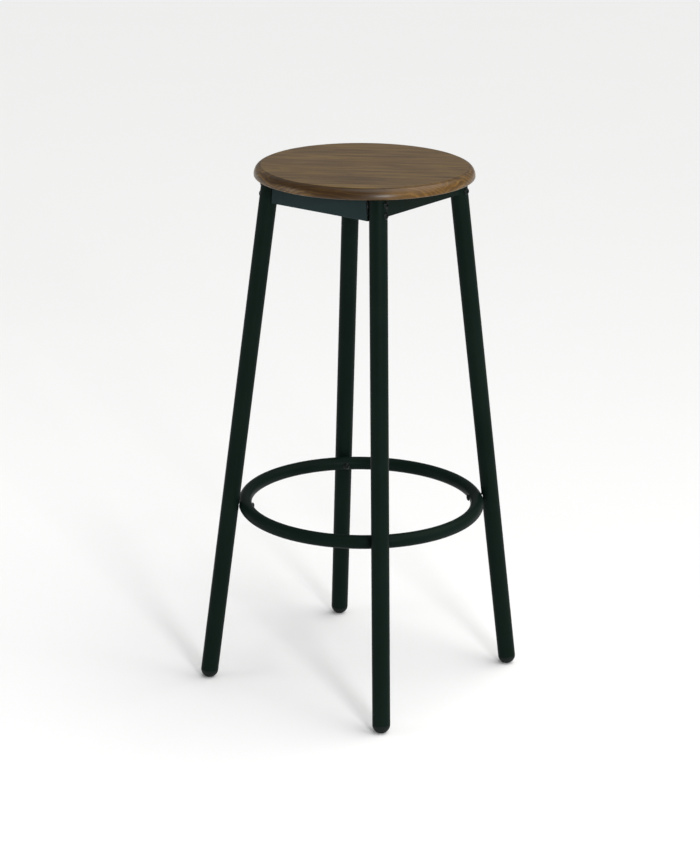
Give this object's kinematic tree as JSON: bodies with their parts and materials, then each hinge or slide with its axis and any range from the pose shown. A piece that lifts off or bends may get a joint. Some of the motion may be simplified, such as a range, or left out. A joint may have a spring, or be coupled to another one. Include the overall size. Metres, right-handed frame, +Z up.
{
  "type": "bar stool with footrest",
  "caption": "Backless bar stool: a round wooden seat on splayed black steel tube legs, braced by square rails under the seat and a round tube footrest ring.",
  "frame": {"origin": "on the floor, under the middle of the seat", "axes": "+Z up; -Y towards the front, where the bolted front rail is; +X to the right side frame"},
  "size_m": [0.3572, 0.3572, 0.765],
  "materials": {
    "seat_wood": "satin walnut-brown stain, fine straight grain, clear lacquer",
    "frame_steel": "satin near-black powder coat, faintly green",
    "bolt_black": "black oxide, satin",
    "foot_plastic": "fine-grained moulded black plastic",
    "plain_zinc": "bright zinc plate"
  },
  "bodies": {
    "root": {"seat": "seat_wood", "leg_front_right": "frame_steel", "leg_back_right": "frame_steel", "leg_back_left": "frame_steel", "leg_front_left": "frame_steel", "foot_front_right": "foot_plastic", "foot_back_right": "foot_plastic", "foot_back_left": "foot_plastic", "foot_front_left": "foot_plastic", "right_side_rail": "frame_steel", "left_side_rail": "frame_steel", "right_frame_welds": "frame_steel", "left_frame_welds": "frame_steel", "front_rail": "frame_steel", "back_rail": "frame_steel", "front_rail_nut_plates": "plain_zinc", "back_rail_nut_plates": "plain_zinc", "front_rail_bolts": "bolt_black", "back_rail_bolts": "bolt_black", "footrest_ring": "frame_steel", "footrest_bolts": "bolt_black", "footrest_inserts": "plain_zinc", "seat_tab_front": "frame_steel", "seat_tab_back": "frame_steel", "seat_tab_right": "frame_steel", "seat_tab_left": "frame_steel", "seat_screws": "plain_zinc"}
  },
  "joints": []
}
